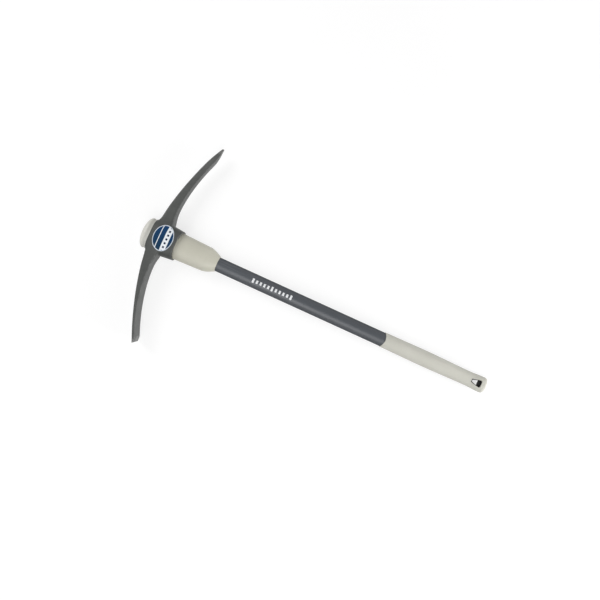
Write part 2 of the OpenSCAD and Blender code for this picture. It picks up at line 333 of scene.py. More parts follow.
# %% Sections of the two arms
POINT_REACH, POINT_GRIND, POINT_TIP = 261.0, 40.0, 4.0
POINT_THICK, POINT_DEEP = (30.5, 14.4), (35.0, 25.0)
GRIND_POWER = 1.35
CHISEL_REACH, CHISEL_BEVEL, CHISEL_EDGE = 257.0, 12.0, 1.0
CHISEL_THICK, CHISEL_DEEP = (28.0, 6.0), (40.0, 58.0)
CHISEL_BACK = 2.6
Y_GRIND = POINT_REACH - POINT_GRIND
Y_BEVEL = CHISEL_REACH - CHISEL_BEVEL


def point_section(y):
    """Outer place, inner place and depth of the point arm's section at y."""
    shank = taper(y, Y_GRIND, *POINT_THICK) * arm_slope(y, POINT_DROOP)
    ground = part_way(y, Y_GRIND, POINT_REACH) ** GRIND_POWER
    thick = shank + (POINT_TIP - shank) * ground
    deep = taper(y, Y_GRIND, *POINT_DEEP)
    deep += (POINT_TIP - deep) * ground + flare(y, FLARE_DEEP)
    back = arm_line(y, POINT_DROOP)
    return back + dip(y), back + thick + flare(y, FLARE_THICK), deep


def chisel_section(y):
    """The same for the chisel arm, whose bevel is on its inner side."""
    shank = taper(y, Y_BEVEL, *CHISEL_THICK) * arm_slope(y, CHISEL_DROOP)
    thick = shank + (CHISEL_EDGE - shank) * part_way(y, Y_BEVEL, CHISEL_REACH)
    deep = taper(y, Y_BEVEL, *CHISEL_DEEP) + flare(y, FLARE_DEEP)
    back = arm_line(y, CHISEL_DROOP) - taper(y, Y_BEVEL, CHISEL_BACK, 0.0)
    return back + dip(y), back + thick + flare(y, FLARE_THICK), deep


print("point tip section:", [round(v, 2) for v in point_section(POINT_REACH)])

# %% Draw out the arms
SHANK_STATIONS = [46.0, 50.0, 56.0, 64.0, 76.0, 95.0, 120.0, 150.0, 185.0]
POINT_STATIONS = SHANK_STATIONS + [208.0, 222.0, 235.0, 246.0, 255.0, 259.5, 260.7, POINT_REACH]
CHISEL_STATIONS = SHANK_STATIONS + [216.0, 237.0, 243.8, 246.2, 251.0, 255.8, CHISEL_REACH]
POINT_WINDOW, CHISEL_WINDOW = wall[2:8], wall[2:7]
WINDOW_COLUMNS = 4
WORN_STATIONS = 5
CORNER_PULL = 0.955
TIP_INSET = 0.25


def draw_arm(side, window, stations, section):
    """Opens a window in the eye's wall and extrudes an arm from its edge."""
    middle = 0 if side > 0 else EYE_RING // 2
    ring = open_window(head_bm, window, middle, WINDOW_COLUMNS)
    shares = window_shares(ring, Z)
    for y in stations:
        ring = next_ring(head_bm, ring)
        x0, x1, deep = section(y)
        for vert, (u, w) in zip(ring, shares):
            pull = CORNER_PULL if is_corner(u, w) else 1.0
            vert.co = ((x0 + x1) / 2 + u * pull * (x1 - x0) / 2, side * y, w * pull * deep / 2)
            vert[wear] = 1.0 if is_corner(u, w) or y in stations[-WORN_STATIONS:] else 0.0
    cap = close_ring(head_bm, ring)
    bmesh.ops.inset_individual(head_bm, faces=cap, thickness=TIP_INSET, depth=0.0)


draw_arm(+1, POINT_WINDOW, POINT_STATIONS, point_section)
draw_arm(-1, CHISEL_WINDOW, CHISEL_STATIONS, chisel_section)
drop_loose(head_bm)
forged_head = make_piece(head_bm, "forged_head", levels=2)

# %% [markdown]
# ## The label
# An oval printed label sits on the upper cheek and bends down with it at both ends. A label is
# thin and takes the shape of what it is stuck to. So it starts as flat rings, and each of its
# points then drops along a ray until it meets the smoothed head.

# %% Label on the cheek
LABEL_RING = 96
LABEL_X, LABEL_Y = -1.0, 3.0
LABEL_HALF = (24.75, 32.75)
LABEL_THICK, LABEL_EDGE, LABEL_SINK = 0.25, 0.175, 0.1
LABEL_SHARES = [0.1, 0.25, 0.4, 0.55, 0.7, 0.82, 0.92, 0.985]
RAY_FROM = 0.2

head_surface = BVHTree.FromObject(forged_head, bpy.context.evaluated_depsgraph_get())


def cheek_height(x, y):
    """Height of the head's surface over a place given in millimetres, above the axis."""
    hit = head_surface.ray_cast(Vector((x * MM, y * MM, RAY_FROM)), Vector((0, 0, -1)))[0]
    return (hit.z - AXIS_Z) / MM


def label_ring(ring, share, lift):
    """Shapes a ring into a share of the label's oval, at a height over the cheek."""
    for i, vert in enumerate(ring):
        turn = 2 * math.pi * i / len(ring)
        x = LABEL_X + share * LABEL_HALF[0] * math.cos(turn)
        y = LABEL_Y + share * LABEL_HALF[1] * math.sin(turn)
        vert.co = (x, y, cheek_height(x, y) + lift)


label_rows = [(share, LABEL_THICK) for share in LABEL_SHARES]
label_rows += [(1.0, LABEL_EDGE), (1.0, -LABEL_SINK)]
label_rows += [(share, -LABEL_SINK) for share in reversed(LABEL_SHARES)]

label_bm = bmesh.new()
inner = ring = first_ring(label_bm, LABEL_RING)
label_ring(ring, *label_rows[0])
for row in label_rows[1:]:
    ring = next_ring(label_bm, ring)
    label_ring(ring, *row)
close_ring(label_bm, inner)
close_ring(label_bm, ring)
cheek_label = make_piece(label_bm, "cheek_label")

# %% [markdown]
# ## The sleeve and its plug
# The handle is too slim to fill the eye, so a moulded sleeve wedges it there. Its dome and
# bead stand above the eye and stop the head from flying off, and its collar runs down to the
# shaft. A round plug closes the bore in the dome. Both are turned-looking shapes, but oval, so
# they too are made of rings, with a small round at the lip and round the plug.

# %% Shape of the dome
SLEEVE_RING = 96
X_DOME, X_BEAD = -60.88, -46.0
BEAD = (38.4, 26.1)
DOME_POWER = 2.0
PLUG_R, PLUG_FLOOR, PLUG_GAP = 15.5, -47.5, 0.05
EDGE_ROUND = 0.5


def dome_curve(share):
    """The other side of the dome's curve, in shares of its height and of its half width."""
    return (1 - share**DOME_POWER) ** (1 / DOME_POWER)


def on_dome(ring, radius, drop=0.0):
    """Shapes a ring into a circle that lies on the dome, or a little under it."""
    set_oval(ring, 0.0, radius, radius)
    for vert in ring:
        out = math.hypot(vert.co.y / BEAD[0], vert.co.z / BEAD[1])
        vert.co.x = X_BEAD + (X_DOME - X_BEAD) * dome_curve(min(1.0, out)) + drop


print("the dome is", round(X_BEAD - X_DOME, 2), "mm high over its bead")

# %% Rows of the sleeve
COLLAR_RIM, COLLAR_END = (33.6, 22.2), (30.9, 21.7)
X_SHOULDER, X_LIP, LIP_R = 111.0, 140.0, 19.65
SHOULDER_POWER, SHOULDER_STEPS = 1.4, 12
BORE_R, JACKET_BORE_R, X_JACKET = 13.1, 17.8, 85.0
DOME_RISES = (0.78, 0.7, 0.61, 0.51, 0.4, 0.28, 0.15, 0.0)
NECK_ROWS = [
    (-44.2, 38.1, 25.8), (-42.0, 37.45, 25.15), (-40.0, 36.95, 24.65), (-38.0, 37.15, 24.85),
    (X_TOP, 37.45, 25.15),
]
COLLAR_ROWS = [(0.0, 35.5, 23.65), (X_RIM, *COLLAR_RIM), (74.0, 32.25, 21.95)]
LIP_ROWS = [(X_LIP - 0.12, LIP_R - 0.2), (X_LIP, LIP_R - 0.6), (X_LIP, JACKET_BORE_R + 0.3)]
BORE_ENDS = [
    (X_LIP - 0.4, JACKET_BORE_R), (X_JACKET, JACKET_BORE_R), (X_JACKET, BORE_R), (PLUG_FLOOR, BORE_R),
    (PLUG_FLOOR, PLUG_R + PLUG_GAP),
]


def dome_row(rise):
    """A row of the dome at a share of its height."""
    return X_BEAD + (X_DOME - X_BEAD) * rise, *(half * dome_curve(rise) for half in BEAD)


def shoulder_row(k):
    """A row of the shoulder, which goes from the oval collar to the round lip."""
    x = X_SHOULDER + (X_LIP - EDGE_ROUND - X_SHOULDER) * k
    return x, *(half + (LIP_R - half) * k**SHOULDER_POWER for half in COLLAR_END)


def round_row(x, radius):
    return x, radius, radius


sleeve_rows = [dome_row(rise) for rise in DOME_RISES] + NECK_ROWS + COLLAR_ROWS
sleeve_rows += [shoulder_row(i / SHOULDER_STEPS) for i in range(SHOULDER_STEPS + 1)]
sleeve_rows += [round_row(*row) for row in LIP_ROWS + BORE_ENDS]
print("the sleeve has", len(sleeve_rows), "rows")

# %% Sleeve
sleeve_bm = bmesh.new()
first = first_ring(sleeve_bm, SLEEVE_RING)
on_dome(first, PLUG_R + EDGE_ROUND)
ring = next_ring(sleeve_bm, loft(sleeve_bm, first, sleeve_rows))
on_dome(ring, PLUG_R + PLUG_GAP, drop=EDGE_ROUND)
join_rings(sleeve_bm, ring, first)
eye_sleeve = make_piece(sleeve_bm, "eye_sleeve")

# %% Plug in the dome
PLUG_RADII = (PLUG_R - EDGE_ROUND, 12.0, 8.0, 4.0)

plug_bm = bmesh.new()
ring = first_ring(plug_bm, SLEEVE_RING)
set_oval(ring, *round_row(PLUG_FLOOR, PLUG_R))
close_ring(plug_bm, ring)
ring = next_ring(plug_bm, ring)
on_dome(ring, PLUG_R, drop=EDGE_ROUND)
for radius in PLUG_RADII:
    ring = next_ring(plug_bm, ring)
    on_dome(ring, radius)
close_ring(plug_bm, ring)
dome_plug = make_piece(plug_bm, "dome_plug")

# %% [markdown]
# ## The shaft
# A smooth dark jacket covers the fibre core. It is a plain long tube, and its looks are all in
# its finish, so a few rings are enough. Its ends are hidden in the collar and in the grip.

# %% Shaft tube
SHAFT_RING = 128
SHAFT_R, CORE_R = 17.75, 12.75
X_JACKET_END = 605.9
SHAFT_STOPS = (X_LIP, 210.0, 285.0, 360.0, 440.0, 520.0, 582.0)

shaft_rows = [(X_JACKET, SHAFT_R - EDGE_ROUND), (X_JACKET + EDGE_ROUND, SHAFT_R)]
shaft_rows += [(x, SHAFT_R) for x in SHAFT_STOPS]
shaft_rows += [(X_JACKET_END - EDGE_ROUND, SHAFT_R), (X_JACKET_END, SHAFT_R - EDGE_ROUND)]
shaft_rows += [(X_JACKET_END, CORE_R)]

shaft_bm = bmesh.new()
first = first_ring(shaft_bm, SHAFT_RING)
set_oval(first, *round_row(X_JACKET, CORE_R))
ring = loft(shaft_bm, first, [round_row(*row) for row in shaft_rows])
join_rings(shaft_bm, ring, first)
jacket_tube = make_piece(shaft_bm, "jacket_tube")

# %% [markdown]
# ## The grip
# The grip is a soft sleeve moulded over the end of the handle. It swells a little where the
# rear hand holds, narrows, and flares again at the butt, where a rounded triangular hole lets
# the tool hang on a hook. Its upper edge is hollowed, so the dark shaft runs into it as a round
# tongue. Like the head it is a smoothed cage: the skin and the bore share their columns, so a
# window through both can be joined into the hole.

# %% Profile of the grip
GRIP_RING = 32
GRIP_KEEP = keep_size(GRIP_RING)
X_GRIP, X_SWELL, X_WAIST, X_FLARE, X_BUTT = 581.9, 696.9, 810.9, 845.9, 856.9
GRIP_LIP_R, FLARE_R, BUTT_R = 18.85, 19.65, 19.7
GRIP_SPANS = [(X_GRIP, GRIP_LIP_R), (X_SWELL, 19.75), (X_WAIST, 18.05), (X_FLARE, FLARE_R)]
EDGE_HOLLOW, HOLLOW_END = 6.0, 625.0
INSERT_R, X_INSERT, X_INSERT_END = 15.55, 783.9, 851.9


def grip_radius(x):
    """Radius of the grip's skin, eased from one width to the next."""
    for (x0, a), (x1, b) in zip(GRIP_SPANS, GRIP_SPANS[1:]):
        if x <= x1:
            return a + (b - a) * (1 - math.cos(math.pi * (x - x0) / (x1 - x0))) / 2
    return FLARE_R


def hollow_edge(ring):
    """Draws a ring toward the butt at the front and back of the grip's upper edge."""
    for vert in ring:
        fade = (1 - part_way(vert.co.x, X_GRIP, HOLLOW_END)) ** 2
        vert.co.x += EDGE_HOLLOW * fade * max(0.0, 1 - (vert.co.y / GRIP_LIP_R) ** 2)


print("grip radius at the swell:", grip_radius(X_SWELL), "and at the waist:", grip_radius(X_WAIST))

# %% Skin and bore of the grip
HOLE_ROWS = [843.8, 839.6, 835.3, 831.0, 826.6, 821.8, 817.0]
BUTT_CAP_R, BORE_CAP_R = 4.0, 8.0
BUTT_ROWS = [
    (X_BUTT, 9.0), (X_BUTT, 13.4), (855.9, 16.9), (853.9, 18.9), (850.6, BUTT_R), (847.2, FLARE_R),
]
SKIN_STOPS = HOLE_ROWS + [811.0, 800.0, 780.0, 755.0, 725.0, 697.0, 665.0, 630.0, 606.0, 592.0, 585.0]
EDGE_ROWS = [(582.6, GRIP_LIP_R), (X_GRIP, 18.55), (X_GRIP, 18.0), (582.6, JACKET_BORE_R)]
SEAT_ROWS = [
    (590.0, JACKET_BORE_R), (X_JACKET_END, JACKET_BORE_R), (X_JACKET_END, CORE_R), (X_INSERT, CORE_R),
    (X_INSERT, INSERT_R),
]
END_ROWS = [(X_INSERT_END, INSERT_R), (X_INSERT_END, BORE_CAP_R)]

skin_rows = BUTT_ROWS + [(x, grip_radius(x)) for x in SKIN_STOPS] + EDGE_ROWS
bore_rows = SEAT_ROWS + [(x, INSERT_R) for x in reversed(HOLE_ROWS)] + END_ROWS

grip_bm = bmesh.new()
ring = first_ring(grip_bm, GRIP_RING)
set_oval(ring, *round_row(X_BUTT, BUTT_CAP_R))
close_ring(grip_bm, ring)
hole_rings = {"skin": {}, "bore": {}}
for part, rows in (("skin", skin_rows), ("bore", bore_rows)):
    for x, radius in rows:
        ring = loft(grip_bm, ring, [round_row(x, radius * GRIP_KEEP)])
        hollow_edge(ring)
        if x in HOLE_ROWS:
            hole_rings[part][x] = ring
close_ring(grip_bm, ring)
print("grip cage:", len(grip_bm.faces), "faces before the hole")

# %% Shape of the hang hole
HOLE_NARROW, HOLE_WIDE = (817.7, 4.5), (843.0, 9.8)
HOLE_PULL = 0.88


def hole_place(u, w, land):
    """A point of the hole's edge, a rounded triangle grown by the land around it."""
    pull = HOLE_PULL if is_corner(u, w) else 1.0
    x0, x1 = HOLE_NARROW[0] - land, HOLE_WIDE[0] + land
    half = HOLE_NARROW[1] + (HOLE_WIDE[1] - HOLE_NARROW[1]) * (u + 1) / 2 + land
    return (x0 + x1) / 2 + u * pull * (x1 - x0) / 2, w * pull * half


def hole_ring(ring, shares, side, land, radius_at, lift):
    """Fits a ring to the hole's edge on a tube, at a height over the tube."""
    for vert, (u, w) in zip(ring, shares):
        x, y = hole_place(u, w, land)
        vert.co = (x, y, side * (math.sqrt((radius_at(x) * GRIP_KEEP) ** 2 - y * y) + lift))


def even(radius):
    """A radius that is the same all along, in the form of grip_radius."""
    return lambda x: radius


print("the hole is", round(HOLE_WIDE[0] - HOLE_NARROW[0], 1), "mm long in the cage")

# %% Hang hole
# The steps go from the land round the hole over its raised lip and down its side to the bore.
HOLE_COLUMNS = 3
HOLE_LAND, HOLE_LIP = 1.8, 0.35
SIDE_LAND, SIDE_DROP, SIDE_FOOT = 0.1, 0.9, 0.6
HOLE_STEPS = [
    (HOLE_LAND, grip_radius, 0.0),
    (0.99, grip_radius, HOLE_LIP),
    (0.45, grip_radius, 0.7 * HOLE_LIP),
    (SIDE_LAND, grip_radius, -SIDE_DROP),
    (SIDE_LAND, even(INSERT_R + SIDE_FOOT), 0.0),
]

for side in (1, -1):
    middle = (2 - side) * GRIP_RING // 4
    ring, deep = (
        open_window(grip_bm, [hole_rings[part][x] for x in HOLE_ROWS], middle, HOLE_COLUMNS)
        for part in ("skin", "bore")
    )
    shares = window_shares(ring, Y)
    hole_ring(ring, shares, side, *HOLE_STEPS[0])
    for step in HOLE_STEPS[1:]:
        ring = next_ring(grip_bm, ring)
        hole_ring(ring, shares, side, *step)
    hole_ring(deep, shares, side, SIDE_LAND, even(INSERT_R), 0.0)
    join_rings(grip_bm, ring, deep)
drop_loose(grip_bm)
soft_grip = make_piece(grip_bm, "soft_grip", levels=2)

# %% [markdown]
# ## Shared effects
# Paint, plastic and rubber all vary a little in tone and have some grain, at other scales. An
# effect that several finishes use is a node group, built once. A group reads the piece's own
# Object coordinates, which are metres here, so a scale of 1000 means a feature of a millimetre.

# %% Node helpers


def set_input(tree, socket, value):
    """Links an input to another socket, or sets its value."""
    if isinstance(value, bpy.types.NodeSocket):
        tree.links.new(value, socket)
    else:
        socket.default_value = value


def add_node(tree, kind, inputs, **props):
    """Adds a node, sets its properties, and sets or links its inputs by name or number."""
    node = tree.nodes.new(kind)
    for key, value in props.items():
        setattr(node, key, value)
    for key, value in inputs.items():
        set_input(tree, node.inputs[key], value)
    return node


def math_node(tree, operation, a, b=0.0, c=0.0, clamp=False):
    inputs = {0: a, 1: b, 2: c}
    return add_node(tree, "ShaderNodeMath", inputs, operation=operation, use_clamp=clamp).outputs[0]


def mix_colour(tree, factor, a, b):
    return add_node(tree, "ShaderNodeMix", {0: factor, 6: a, 7: b}, data_type="RGBA").outputs[2]


def map_range(tree, value, low, high, start=0.0, end=1.0, smooth=False):
    """Maps a value from one range to another, and holds it there past both ends."""
    inputs = {0: value, 1: low, 2: high, 3: start, 4: end}
    kind = "SMOOTHSTEP" if smooth else "LINEAR"
    return add_node(tree, "ShaderNodeMapRange", inputs, interpolation_type=kind).outputs[0]


def noise(tree, vector, scale, detail, roughness=0.5):
    inputs = {"Vector": vector, "Scale": scale, "Detail": detail, "Roughness": roughness}
    return add_node(tree, "ShaderNodeTexNoise", inputs).outputs[0]


def object_place(tree):
    return add_node(tree, "ShaderNodeTexCoord", {}).outputs["Object"]


def split(tree, vector):
    """The three parts of a vector."""
    return add_node(tree, "ShaderNodeSeparateXYZ", {0: vector}).outputs


print("node helpers ready")

# %% Group helpers


def new_group(name, inputs, outputs):
    """A shader group with named inputs, given with their start values, and named outputs."""
    group = bpy.data.node_groups.new(name, "ShaderNodeTree")
    for label, value in inputs.items():
        kind = "NodeSocketColor" if isinstance(value, tuple) else "NodeSocketFloat"
        socket = group.interface.new_socket(name=label, in_out="INPUT", socket_type=kind)
        socket.default_value = value
    for label, kind in outputs.items():
        group.interface.new_socket(name=label, in_out="OUTPUT", socket_type=kind)
    start = group.nodes.new("NodeGroupInput")
    end = group.nodes.new("NodeGroupOutput")
    return group, start.outputs, end.inputs


def use_group(tree, group, **inputs):
    """Adds a group to a tree and sets its inputs, whose names have spaces in the group."""
    node = tree.nodes.new("ShaderNodeGroup")
    node.node_tree = group
    for key, value in inputs.items():
        set_input(tree, node.inputs[key.replace("_", " ").capitalize()], value)
    return node.outputs


print("group helpers ready")

# %% Cloudy tone
# Two tones of one finish, mixed by soft noise, with a finer mottle on top.
DARK, LIGHT = (0.1, 0.1, 0.1, 1.0), (0.2, 0.2, 0.2, 1.0)
CLOUD_SHARE, MOTTLE_SHARE, TONE_BIAS = 1.4, 0.6, 0.5

cloudy_tone, g_in, g_out = new_group(
    "cloudy_tone",
    {"Dark tone": DARK, "Light tone": LIGHT, "Cloud scale": 20.0, "Mottle scale": 400.0},
    {"Colour": "NodeSocketColor", "Mask": "NodeSocketFloat"},
)
place = object_place(cloudy_tone)
cloud = noise(cloudy_tone, place, g_in["Cloud scale"], detail=3.0, roughness=0.6)
mottle = noise(cloudy_tone, place, g_in["Mottle scale"], detail=2.0)
soft = math_node(cloudy_tone, "MULTIPLY", cloud, CLOUD_SHARE)
blend = math_node(cloudy_tone, "MULTIPLY_ADD", mottle, MOTTLE_SHARE, soft)
mask = math_node(cloudy_tone, "SUBTRACT", blend, TONE_BIAS, clamp=True)
colour = mix_colour(cloudy_tone, mask, g_in["Dark tone"], g_in["Light tone"])
cloudy_tone.links.new(mask, g_out["Mask"])
cloudy_tone.links.new(colour, g_out["Colour"])
print("cloudy_tone mixes two tones of a finish")

# %% Moulded grain
# The fine skin that a textured mould, a spray gun or a brush leaves, as a height and a mask.
moulded_grain, g_in, g_out = new_group(
    "moulded_grain",
    {"Grain scale": 1500.0, "Wave scale": 120.0, "Wave share": 0.4},
    {"Height": "NodeSocketFloat", "Rough mask": "NodeSocketFloat"},
)
place = object_place(moulded_grain)
grain = noise(moulded_grain, place, g_in["Grain scale"], detail=2.0, roughness=0.55)
wave = noise(moulded_grain, place, g_in["Wave scale"], detail=2.0)
height = math_node(moulded_grain, "MULTIPLY_ADD", wave, g_in["Wave share"], grain)
mean = math_node(moulded_grain, "DIVIDE", math_node(moulded_grain, "ADD", grain, wave), 2.0)
moulded_grain.links.new(height, g_out["Height"])
moulded_grain.links.new(mean, g_out["Rough mask"])
print("moulded_grain gives a height and a roughness mask")

# %% Handling marks
# Faint scuffs: long thin streaks of noise along the handle, broken up by larger patches.
PATCH_SCALE, PATCH_BIAS = 14.0, 0.5
STREAK_FROM, STREAK_FULL = 0.6, 0.78

handling_marks, g_in, g_out = new_group(
    "handling_marks",
    {"Streak length": 25.0, "Streak width": 900.0, "Amount": 0.5},
    {"Mask": "NodeSocketFloat"},
)
place = object_place(handling_marks)
stretch = [g_in["Streak length"], g_in["Streak width"], g_in["Streak width"]]
pairs = zip(split(handling_marks, place), stretch)
longer = {i: math_node(handling_marks, "MULTIPLY", *pair) for i, pair in enumerate(pairs)}
stretched = add_node(handling_marks, "ShaderNodeCombineXYZ", longer).outputs[0]
streak = noise(handling_marks, stretched, 1.0, detail=1.0)
patch = noise(handling_marks, place, PATCH_SCALE, detail=2.0)
broken = math_node(handling_marks, "MULTIPLY", streak, math_node(handling_marks, "ADD", patch, PATCH_BIAS))
sharp = map_range(handling_marks, broken, STREAK_FROM, STREAK_FULL, smooth=True)
handling_marks.links.new(math_node(handling_marks, "MULTIPLY", sharp, g_in["Amount"]), g_out["Mask"])
print("handling_marks gives a mask of faint streaks")

# %% [markdown]
# ## Finishes
# Each finish is one Principled shader whose colour, roughness and bump come from the groups.
# What is the same all over a surface, such as its specular level, is set on the shader itself.

# %% Finish helpers


def srgb(red, green, blue):
    """A colour as seen on the screen, from 0 to 255, in the linear values that nodes use."""
    shares = [value / 255 for value in (red, green, blue)]
    linear = [s / 12.92 if s < 0.04045 else ((s + 0.055) / 1.055) ** 2.4 for s in shares]
    return (*linear, 1.0)


def new_finish(name, specular=0.5):
    """A material with its tree and its Principled shader."""
    finish = bpy.data.materials.new(name)
    finish.use_nodes = True
    shader = finish.node_tree.nodes["Principled BSDF"]
    shader.inputs["Specular IOR Level"].default_value = specular
    return finish, finish.node_tree, shader


def skin(tree, shader, colour, rough_mask, rough, height, distance, strength=1.0):
    """Gives a shader its colour, its roughness between two values by a mask, and its bump."""
    tree.links.new(colour, shader.inputs["Base Color"])
    tree.links.new(map_range(tree, rough_mask, 0.0, 1.0, *rough), shader.inputs["Roughness"])
    bump = add_node(tree, "ShaderNodeBump", {"Height": height, "Distance": distance, "Strength": strength})
    tree.links.new(bump.outputs[0], shader.inputs["Normal"])


def grained_skin(tree, shader, colour, rough, distance, strength, **scales):
    """The same, with the moulded grain as mask and height."""
    grain = use_group(tree, moulded_grain, **scales)
    skin(tree, shader, colour, grain["Rough mask"], rough, grain["Height"], distance, strength)


print("white on the screen is", srgb(255, 255, 255)[0])

# %% [markdown]
# ### Paint on the head
# A new pick head is sprayed with dark grey enamel over scale and hammer marks. The paint is
# satin, a little uneven in tone, and thinner on the edges and toward the two ends, where grey
# steel starts to show.

# %% Head paint
BARE_STEEL = srgb(128, 128, 126)
CHIP_BIAS, CHIP_FROM, CHIP_FULL, CHIP_SHARE = 0.35, 0.5, 1.1, 0.5
WEAR_FROM, WEAR_FULL = 0.13, 0.25
POINT_WEAR, CHISEL_WEAR = 0.2, 0.06

head_paint, tree, shader = new_finish("head_paint", specular=0.41)
tone = use_group(
    tree, cloudy_tone,
    dark_tone=srgb(51, 53, 52), light_tone=srgb(72, 74, 72), cloud_scale=28.0, mottle_scale=260.0,
)
edge = add_node(tree, "ShaderNodeAttribute", {}, attribute_name="edge_wear").outputs["Fac"]
uneven = math_node(tree, "MULTIPLY", edge, math_node(tree, "ADD", tone["Mask"], CHIP_BIAS))
chips = map_range(tree, uneven, CHIP_FROM, CHIP_FULL, smooth=True)
sideways = split(tree, object_place(tree))[Y]
thin = map_range(tree, math_node(tree, "ABSOLUTE", sideways), WEAR_FROM, WEAR_FULL, smooth=True)
on_point = math_node(tree, "GREATER_THAN", sideways, 0.0)
share = math_node(tree, "MULTIPLY_ADD", on_point, POINT_WEAR - CHISEL_WEAR, CHISEL_WEAR)
worn = math_node(tree, "MULTIPLY_ADD", chips, CHIP_SHARE, math_node(tree, "MULTIPLY", thin, share))
grained_skin(
    tree, shader, mix_colour(tree, worn, tone["Colour"], BARE_STEEL),
    rough=(0.38, 0.56), distance=0.0006, strength=0.22,
    grain_scale=700.0, wave_scale=75.0, wave_share=1.6,
)
print("head_paint: satin enamel with thin edges")

# %% [markdown]
# ### Print on the label
# The label is a navy and white vinyl oval. Its print here is a plain design: a white rim, a
# navy field that fades along the arms, a thin white line, and a white band with a row of small
# squares.

# %% Label print
FIELD_SHARE, FIELD_SOFT = 0.935, 0.006
FADE_REACH = 0.9
BAND_X, BAND_HALF = 0.009, 0.0068
SQUARE_STEP, SQUARE_HALF = 0.010, 0.0024
LINE_X, LINE_HALF = -0.010, 0.0009
PRINT_SOFT = 0.00012
RIM_WHITE, PAPER_WHITE = srgb(206, 214, 224), srgb(232, 236, 240)
NAVY, NAVY_LIGHT, NAVY_SQUARE = srgb(8, 46, 72), srgb(12, 56, 98), srgb(14, 40, 66)


def below(tree, value, edge, soft=PRINT_SOFT):
    """1 below an edge and 0 above it, with a printed edge that is a little soft."""
    return map_range(tree, value, edge - soft, edge + soft, 1.0, 0.0)


def distance_to(tree, value, place):
    return math_node(tree, "ABSOLUTE", math_node(tree, "SUBTRACT", value, place))


label_print, tree, shader = new_finish("label_print", specular=0.15)
parts = split(tree, object_place(tree))
across = math_node(tree, "SUBTRACT", parts[X], LABEL_X * MM)
length = math_node(tree, "SUBTRACT", parts[Y], LABEL_Y * MM)
u = math_node(tree, "DIVIDE", across, LABEL_HALF[0] * MM)
v = math_node(tree, "DIVIDE", length, LABEL_HALF[1] * MM)
squared = math_node(tree, "ADD", math_node(tree, "POWER", u, 2.0), math_node(tree, "POWER", v, 2.0))
field = below(tree, math_node(tree, "SQRT", squared), FIELD_SHARE, FIELD_SOFT)
band = below(tree, distance_to(tree, across, BAND_X), BAND_HALF)
line = below(tree, distance_to(tree, across, LINE_X), LINE_HALF)
in_row = below(tree, math_node(tree, "PINGPONG", length, SQUARE_STEP / 2), SQUARE_HALF)
square = math_node(tree, "MULTIPLY", in_row, below(tree, distance_to(tree, across, BAND_X), SQUARE_HALF))

colour = mix_colour(tree, map_range(tree, v, -FADE_REACH, FADE_REACH), NAVY, NAVY_LIGHT)
colour = mix_colour(tree, math_node(tree, "MAXIMUM", band, line), colour, PAPER_WHITE)
colour = mix_colour(tree, square, colour, NAVY_SQUARE)
colour = mix_colour(tree, field, RIM_WHITE, colour)
grained_skin(
    tree, shader, colour, rough=(0.34, 0.46), distance=0.0003, strength=0.06,
    grain_scale=900.0, wave_scale=60.0, wave_share=1.0,
)
print("label_print: navy oval with a white rim, a line, a band and small squares")

# %% [markdown]
# ### Putty plastic and soft rubber
# The sleeve is a hard moulding in a warm putty grey, and the grip is a softer, slightly paler
# and duller skin of nearly the same colour. Both have a fine even grain from their moulds. The
# cap that stands out of the eye is painted a paler grey than the collar: painted light, for the light that
# the cheek keeps off it.

# %% Putty plastic
# Painted light: a paler grey for the cap above the eye, standing in for the light that the cheek keeps off
# it.
CAP_PAINTED_LIGHT_GREY, CAP_PAINTED_LIGHT_SHARE = srgb(214, 213, 207), 0.8
PUTTY_SCUFF = srgb(172, 168, 156)

putty_plastic, tree, shader = new_finish("putty_plastic")
tone = use_group(
    tree, cloudy_tone,
    dark_tone=srgb(187, 185, 171), light_tone=srgb(198, 196, 182), cloud_scale=16.0, mottle_scale=420.0,
)
marks = use_group(tree, handling_marks, streak_length=22.0, streak_width=420.0, amount=0.16)
# Painted light: past the top of the eye the tone is mixed toward the paler cap grey.
on_cap = math_node(tree, "LESS_THAN", split(tree, object_place(tree))[X], X_TOP * MM)
cap_painted_light_tone = mix_colour(tree, math_node(tree, "MULTIPLY", on_cap, CAP_PAINTED_LIGHT_SHARE), tone["Colour"], CAP_PAINTED_LIGHT_GREY)
grained_skin(
    tree, shader, mix_colour(tree, marks["Mask"], cap_painted_light_tone, PUTTY_SCUFF),
    rough=(0.34, 0.46), distance=0.0003, strength=0.18,
    grain_scale=1300.0, wave_scale=60.0, wave_share=0.8,
)
print("putty_plastic: hard moulding with fine grain")

# %% Grip rubber
RUBBER_SCUFF = srgb(180, 178, 166)

grip_rubber, tree, shader = new_finish("grip_rubber", specular=0.35)
tone = use_group(
    tree, cloudy_tone,
    dark_tone=srgb(193, 192, 182), light_tone=srgb(204, 203, 194), cloud_scale=18.0, mottle_scale=500.0,
)
marks = use_group(tree, handling_marks, streak_length=30.0, streak_width=380.0, amount=0.14)
grained_skin(
    tree, shader, mix_colour(tree, marks["Mask"], tone["Colour"], RUBBER_SCUFF),
    rough=(0.58, 0.74), distance=0.0003, strength=0.25,
    grain_scale=1800.0, wave_scale=90.0, wave_share=0.5,
)
print("grip_rubber: soft skin, duller than the sleeve")

# %% [markdown]
# ### The shaft's jacket
# The jacket is a charcoal plastic with a satin shine and fine marks along its length. On its
# upper side it carries a plain white scale of short and long ticks. A clear sheen would draw a
# bright line along each side of the tube, so the shine fades where the surface turns away.

# %% Scale on the shaft
TICK_STEP, TICK_WIDE, TICK_COUNT = 0.010, 0.005, 10
LONG_STEP = 5 * TICK_STEP
SCALE_START = 0.2345
SCALE_END = SCALE_START + TICK_COUNT * TICK_STEP + (TICK_WIDE + TICK_STEP) / 2
TICK_SHORT, TICK_LONG = 0.0041, 0.0056


